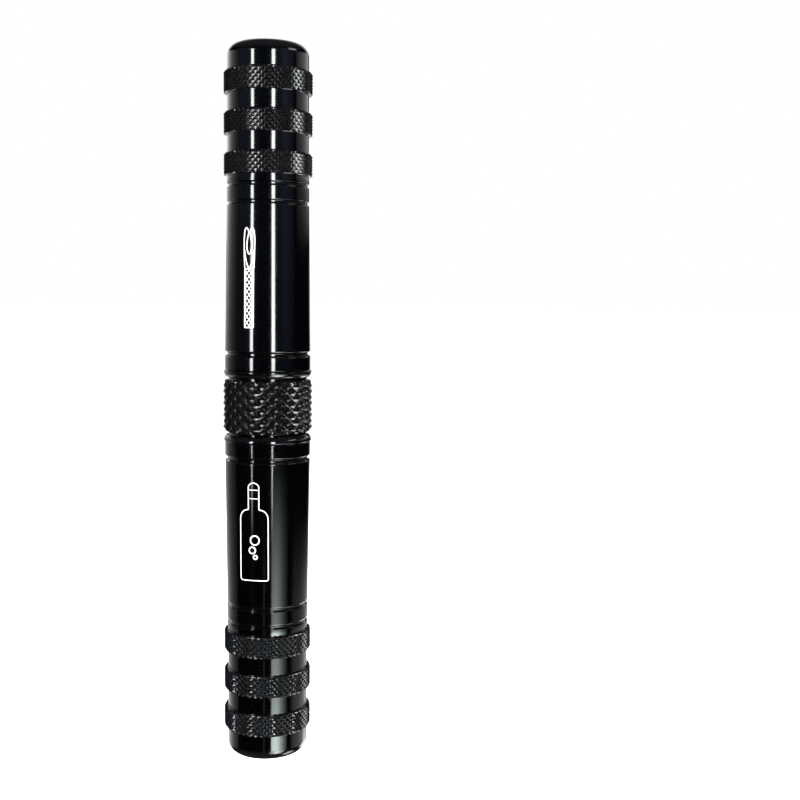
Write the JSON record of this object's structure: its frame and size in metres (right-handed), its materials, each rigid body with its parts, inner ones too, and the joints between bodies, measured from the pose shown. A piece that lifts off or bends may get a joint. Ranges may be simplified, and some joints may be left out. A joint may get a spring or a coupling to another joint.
{
  "type": "tyre plug insertion tool",
  "caption": "Pocket capsule for tubeless tyres: a knurled hub with a gas valve, and screw-on tubes that cover a plug fork and a gas cartridge.",
  "frame": {"origin": "centre of the lower tube's flat end, on the surface that the capsule stands on", "axes": "+Z along the capsule, from the cartridge end to the fork end; -Y is the side with the marks, and the fork's flat blade lies in the XZ plane"},
  "size_m": [0.0276, 0.0276, 0.22],
  "materials": {
    "black_anodised": "glossy black anodised",
    "silver_aluminium": "turned, bare",
    "fork_steel": "polished, fine grain",
    "cartridge_steel": "bright zinc plated",
    "cap_steel": "stamped",
    "screw_steel": "black oxide",
    "spring_steel": "drawn wire",
    "pin_steel": "ground",
    "valve_brass": "turned",
    "seal_rubber": "matte black",
    "pad_rubber": "matte dark grey foam rubber"
  },
  "bodies": {
    "hub": {"hub": "black_anodised", "nozzle": "silver_aluminium", "nozzle_oring": "seal_rubber", "nozzle_gasket": "seal_rubber", "plunger_seal": "seal_rubber", "plunger_spring": "spring_steel", "piercing_pin": "pin_steel", "pin_seal": "seal_rubber"},
    "valve_plunger": {"plunger": "valve_brass"},
    "holder_seal": {"holder_oring": "seal_rubber"},
    "plug_fork": {"fork_holder": "black_anodised", "fork": "fork_steel", "fork_set_screw": "screw_steel"},
    "upper_pad": {"upper_tube_pad": "pad_rubber"},
    "upper_seal": {"upper_tube_seal": "seal_rubber"},
    "upper_cover": {"upper_tube": "black_anodised"},
    "lower_pad": {"lower_tube_pad": "pad_rubber"},
    "lower_seal": {"lower_tube_seal": "seal_rubber"},
    "lower_cover": {"lower_tube": "black_anodised"},
    "cartridge_mouth": {"cartridge_cap": "cap_steel"},
    "gas_cartridge": {"cartridge": "cartridge_steel"}
  },
  "joints": [
    {"name": "upper_tube_lift", "type": "slide", "parent": "hub", "child": "upper_pad", "axis": [0, 0, 1], "range_m": [0, 0.095]},
    {"name": "upper_tube_unscrew", "type": "slide", "parent": "upper_pad", "child": "upper_seal", "axis": [0, 0, 1], "range_m": [0, 0.008]},
    {"name": "upper_tube_turn", "type": "hinge", "parent": "upper_seal", "child": "upper_cover", "pos_m": [0, 0, 0.121], "axis": [0, 0, 1], "range_deg": [0, 2880]},
    {"name": "lower_tube_lift", "type": "slide", "parent": "hub", "child": "lower_pad", "axis": [0, 0, -1], "range_m": [0, 0.095]},
    {"name": "lower_tube_unscrew", "type": "slide", "parent": "lower_pad", "child": "lower_seal", "axis": [0, 0, -1], "range_m": [0, 0.008]},
    {"name": "lower_tube_turn", "type": "hinge", "parent": "lower_seal", "child": "lower_cover", "pos_m": [0, 0, 0.099], "axis": [0, 0, -1], "range_deg": [0, 2880]},
    {"name": "cartridge_travel", "type": "slide", "parent": "hub", "child": "cartridge_mouth", "axis": [0, 0, 1], "range_m": [0, 0.00212]},
    {"name": "cartridge_turn", "type": "hinge", "parent": "cartridge_mouth", "child": "gas_cartridge", "pos_m": [0, 0, 0.09], "axis": [0, 0, 1], "range_deg": [0, 720]},
    {"name": "fork_travel", "type": "slide", "parent": "hub", "child": "holder_seal", "axis": [0, 0, 1], "range_m": [0, 0.006]},
    {"name": "fork_turn", "type": "hinge", "parent": "holder_seal", "child": "plug_fork", "pos_m": [0, 0, 0.1317], "axis": [0, 0, 1], "range_deg": [0, 2160]},
    {"name": "plunger_push", "type": "slide", "parent": "hub", "child": "valve_plunger", "axis": [0, 0, -1], "range_m": [0, 0.0015], "stiffness_N_per_m": 400, "springref_m": -0.003, "deforming": ["plunger_spring"]}
  ],
  "couplings": [
    {"joint": "upper_tube_unscrew", "follows": "upper_tube_turn", "m_per_rad": 0.00015915},
    {"joint": "lower_tube_unscrew", "follows": "lower_tube_turn", "m_per_rad": 0.00015915},
    {"joint": "cartridge_travel", "follows": "cartridge_turn", "m_per_rad": 0.00016844},
    {"joint": "fork_travel", "follows": "fork_turn", "m_per_rad": 0.00015915}
  ]
}
